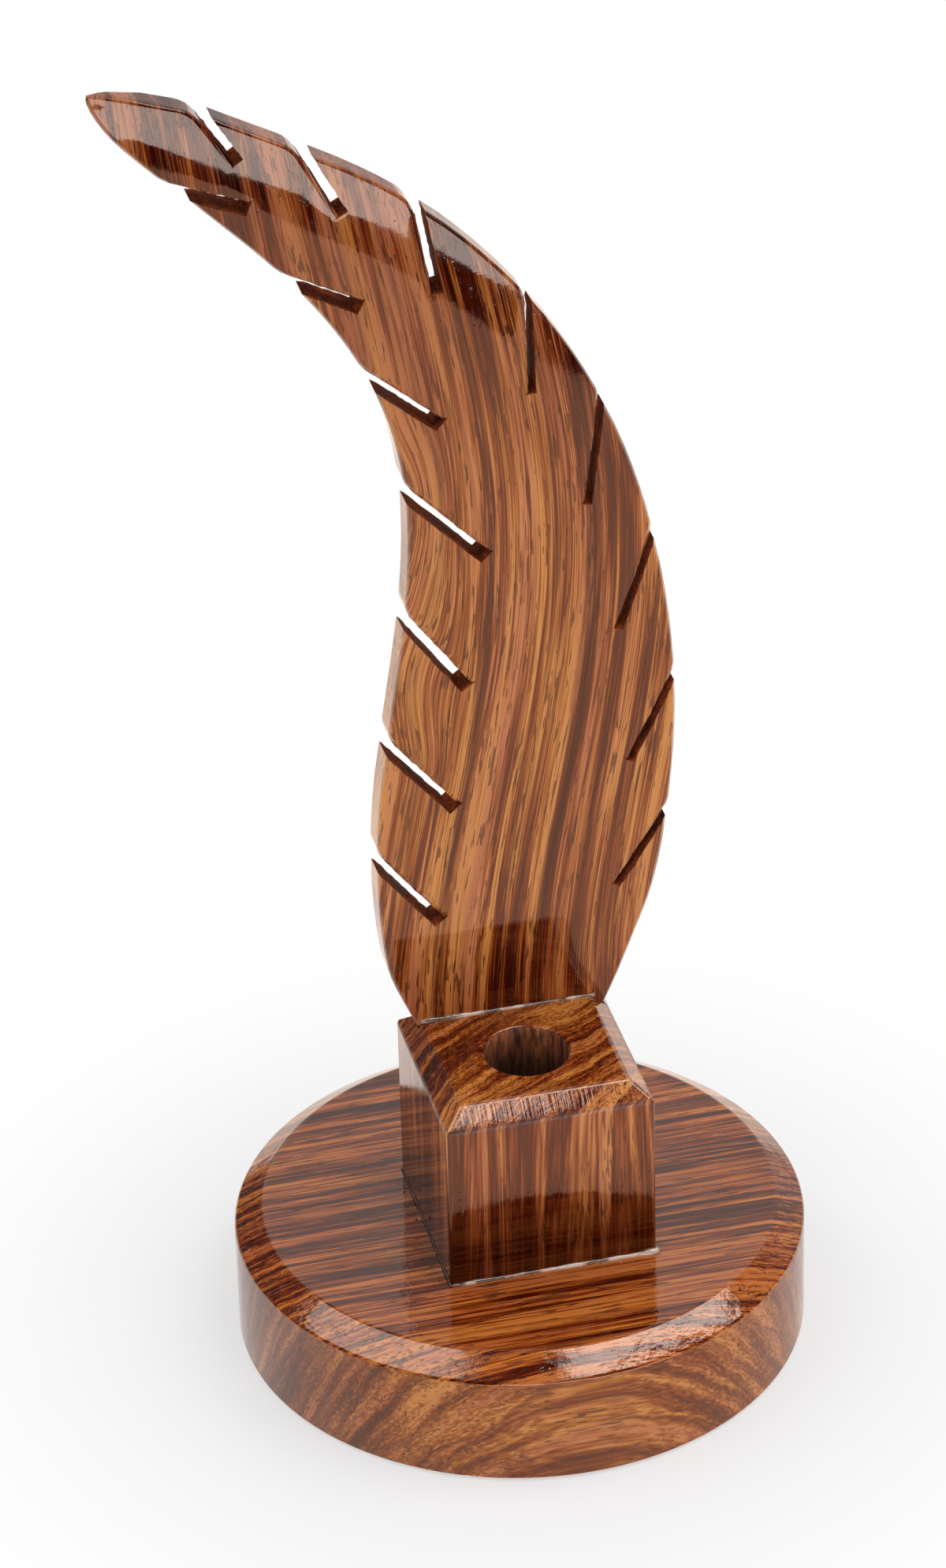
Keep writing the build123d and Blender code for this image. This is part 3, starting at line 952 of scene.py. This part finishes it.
def layBead(tree, line, height, closed, values):
    mesh = bpy.data.meshes.new("jointLine")
    verts = [(x * mm, y * mm, height * mm) for x, y, _ in line]
    edges = [(i, i + 1) for i in range(len(line) - 1)] + ([(len(line) - 1, 0)] if closed else [])
    mesh.from_pydata(verts, edges, [])
    swell = mesh.attributes.new("swell", "FLOAT", "POINT")
    swell.data.foreach_set("value", [share for _, _, share in line])

    def addBead(carrier):
        modifier = carrier.modifiers.new("bead", "NODES")
        modifier.node_group = tree
        for item in tree.interface.items_tree:
            if item.in_out == "INPUT" and item.name in values:
                modifier[item.identifier] = values[item.name]
    return bakeModifiers(mesh, addBead)


beadNodes = beadTree(glueBeads)
glue = driedGlue()
beadValues = {**glueBeads["sizes"], "Glue": glue}
blockBead = layBead(beadNodes, glueBeads["blockLine"], glueBeads["blockHeight"], True,
                    {**beadValues, **glueBeads["blockDroplets"]})
makePiece("blockGlueBead", blockBead, "block_glue_bead", [glue])
footBead = layBead(beadNodes, glueBeads["footLine"], glueBeads["footHeight"], False,
                   {**beadValues, **glueBeads["footDroplets"]})
makePiece("footGlueBead", footBead, "foot_glue_bead", [glue])
print("glue beads laid:", len(blockBead.polygons), "and", len(footBead.polygons), "faces")


# The pieces that keep their CAD shape: felt, screws and dowels
def feltCloth():
    material, shader, place = newMaterial("nappedFelt")
    fuzz = addNoise(place, (0.22, 0.22, 0.22), (1, 1, 1), 3.0, 0.7)
    cloud = addNoise(place, (5.0, 5.0, 5.0), (3, 2, 6), 3.0)
    tone = timesPlus(fuzz, 0.7, times(cloud, 0.3))
    tones = [(0.32, (0.006, 0.004, 0.003)), (0.52, (0.022, 0.016, 0.012)), (0.70, (0.060, 0.045, 0.036))]
    roughness = smoothStep(fuzz, 0.3, 0.7, 0.88, 1.0)
    finishSurface(shader, addRamp(tone, tones), roughness, times(fuzz, 0.18),
                  {"Specular IOR Level": 0.15, "Sheen Weight": 0.35, "Sheen Roughness": 0.5})
    return material


def platedSteel():
    material, shader, place = newMaterial("platedSteel")
    cloud = addNoise(place, (1.2, 1.2, 1.2), (4, 4, 1), 3.0)
    scratch = addNoise(place, (0.12, 1.6, 0.6), (2, 7, 3))
    tones = [(0.30, (0.34, 0.30, 0.20)), (0.50, (0.50, 0.46, 0.34)), (0.70, (0.60, 0.58, 0.50))]
    roughness = smoothStep(scratch, 0.3, 0.7, 0.22, 0.42)
    finishSurface(shader, addRamp(cloud, tones), roughness, times(scratch, 0.006), {"Metallic": 1.0})
    return material


def dowelWood():
    material, shader, place = newMaterial("dowelWood")
    grain = addNoise(place, (0.35, 14.0, 0.8), (5, 2, 8), 3.0)
    flecks = addNoise(place, (0.12, 1.1, 0.12), (1, 9, 4), 1.0)
    tones = [(0.32, (0.20, 0.085, 0.030)), (0.50, (0.33, 0.165, 0.065)), (0.68, (0.46, 0.26, 0.12))]
    dark = smoothStep(flecks, 0.62, 0.70, 0.0, 0.7)
    colour = mixColour(dark, addRamp(grain, tones), (0.09, 0.035, 0.012))
    finishSurface(shader, colour, smoothStep(grain, 0.3, 0.7, 0.10, 0.22), times(flecks, -0.02), {})
    return material


finishes = {"base_felt": feltCloth(), "block_screws": platedSteel(), "foot_pins": dowelWood()}
for node, material in finishes.items():
    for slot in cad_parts[node].material_slots:
        slot.material = material
print("felt, screws and dowels finished")


# Studio: pale floor that ends in front of the object, three panels overhead and a low one in front
studio = {
    "floorFront": -0.42,
    "floorBack": 2.5,
    "floorHalfWidth": 1.8,
    "floorWhite": 0.86,
    "whiteNear": 0.55,  # share of plain white close by, and the reach in which the floor goes over to it
    "whiteSpan": (0.05, 0.12),
    "mirroredFront": (1.0, 0.58, 0.40),  # the floor's glow in the lacquer's reflections: before, close by and behind the object; dimmer close by as a painted shadow of the object
    "mirroredNear": (0.80, 0.76, 0.74),
    "mirroredRear": (1.30, 1.14, 1.02),
    "rearSpan": (-0.06, 0.0),
    "nearSpan": (0.055, 0.10),
    "ambient": 0.57,
    "skyTowards": (0.33, 0.80, 0.50),  # the brighter part of the mirrored sky
    "skySpan": (0.72, 0.90),
    "skyLevels": (0.09, 0.66),
    "frontSpan": (-0.35, -0.10),
    "frontLevels": (0.03, 1.0),
    "panels": [
        {"name": "panelLeft", "spot": (-0.630, 0.190, 1.05), "turn": 23.0, "size": (0.46, 1.22),
         "power": 3.9, "fade": 0.18},
        {"name": "panelRight", "spot": (0.566, -0.067, 1.05), "turn": 23.0, "size": (1.18, 0.40),
         "power": 6.0, "fade": 0.14},
        {"name": "panelFront", "spot": (0.25, -0.90, 0.080), "face": (0.25, 0.0, 0.080),
         "size": (1.2, 0.278), "power": 2.7},
        {"name": "stripFront", "spot": (0.115, -0.48, 1.05), "turn": 0.0, "size": (0.21, 0.17),
         "power": 0.5},
    ],
}


def layFloor(look):
    half, front, back = look["floorHalfWidth"], look["floorFront"], look["floorBack"]
    corners = [(-half, front, 0), (half, front, 0), (half, back, 0), (-half, back, 0)]
    mesh = bpy.data.meshes.new("paleFloor")
    mesh.from_pydata(corners, [], [(0, 1, 2, 3)])
    floor = bpy.data.objects.new("paleFloor", mesh)
    scene.collection.objects.link(floor)
    material = bpy.data.materials.new("paleFloor")
    material.use_nodes = True
    nodes = material.node_tree.nodes
    nodes.clear()
    diffuse = nodes.new("ShaderNodeBsdfDiffuse")
    diffuse.inputs["Color"].default_value = (look["floorWhite"],) * 3 + (1,)
    light = nodes.new("ShaderNodeLightPath").outputs
    mirrored = larger(light["Is Glossy Ray"], light["Is Transmission Ray"])
    coords = nodes.new("ShaderNodeTexCoord").outputs["Object"]
    rear = smoothStep(splitXyz(coords)[1], *look["rearSpan"])
    away = lengthOf(coords)
    # painted shadow: the reflected floor glows dimmer close to the object
    behind = mixColour(smoothStep(away, *look["nearSpan"]), look["mirroredNear"], look["mirroredRear"])
    mirrorColour = mixColour(rear, look["mirroredFront"], behind)
    glow = addNode("ShaderNodeEmission", {"Color": mixColour(mirrored, (1.0, 1.0, 1.0), mirrorColour)})[0]
    white = smoothStep(away, *look["whiteSpan"], look["whiteNear"], 1.0)
    share = larger(times(light["Is Camera Ray"], white), mirrored)
    mix = addNode("ShaderNodeMixShader", {0: share, 1: diffuse.outputs[0], 2: glow})[0]
    addNode("ShaderNodeOutputMaterial", {"Surface": mix})
    mesh.materials.append(material)


def softenPanel(data, fade):  # the panel's light dies away towards its edges
    data.use_nodes = True
    nodes = data.node_tree.nodes
    glow = next(node for node in nodes if node.type == "EMISSION")
    level = 1.0
    for share in splitXyz(nodes.new("ShaderNodeNewGeometry").outputs["Parametric"])[:2]:
        away = absolute(minus(share, 0.5))
        level = times(smoothStep(away, 0.5 - fade, 0.5, 1.0, 0.0), level)
    feed(glow.inputs["Strength"], level)


def hangPanels(look):
    for panel in look["panels"]:
        data = bpy.data.lights.new(panel["name"], "AREA")
        data.shape = "RECTANGLE"
        data.size, data.size_y = panel["size"]
        data.energy = panel["power"]
        lamp = bpy.data.objects.new(panel["name"], data)
        spot = Vector(panel["spot"])
        if "face" in panel:
            aim = (Vector(panel["face"]) - spot).to_track_quat("-Z", "Y").to_matrix().to_4x4()
        else:
            aim = Matrix.Rotation(math.radians(panel["turn"]), 4, "Z")
        lamp.matrix_world = Matrix.Translation(spot) @ aim
        lamp.visible_camera = False
        if "fade" in panel:
            softenPanel(data, panel["fade"])
        scene.collection.objects.link(lamp)


def paintWorld(look):
    world = bpy.data.worlds.new("whiteStudio")
    scene.world = world
    world.use_nodes = True
    nodes = world.node_tree.nodes
    background = next(node for node in nodes if node.type == "BACKGROUND")
    light = nodes.new("ShaderNodeLightPath").outputs
    towards = nodes.new("ShaderNodeTexCoord").outputs["Generated"]
    sky = smoothStep(dotOf(towards, look["skyTowards"]), *look["skySpan"], *look["skyLevels"])
    front = smoothStep(splitXyz(towards)[1], *look["frontSpan"], *look["frontLevels"])
    plain = times(minus(1.0, light["Is Glossy Ray"]), look["ambient"])
    lit = timesPlus(light["Is Glossy Ray"], times(sky, front), plain)
    feed(background.inputs["Strength"], larger(lit, light["Is Camera Ray"]))
    background.inputs["Color"].default_value = (1, 1, 1, 1)


layFloor(studio)
hangPanels(studio)
paintWorld(studio)
print("studio lit")
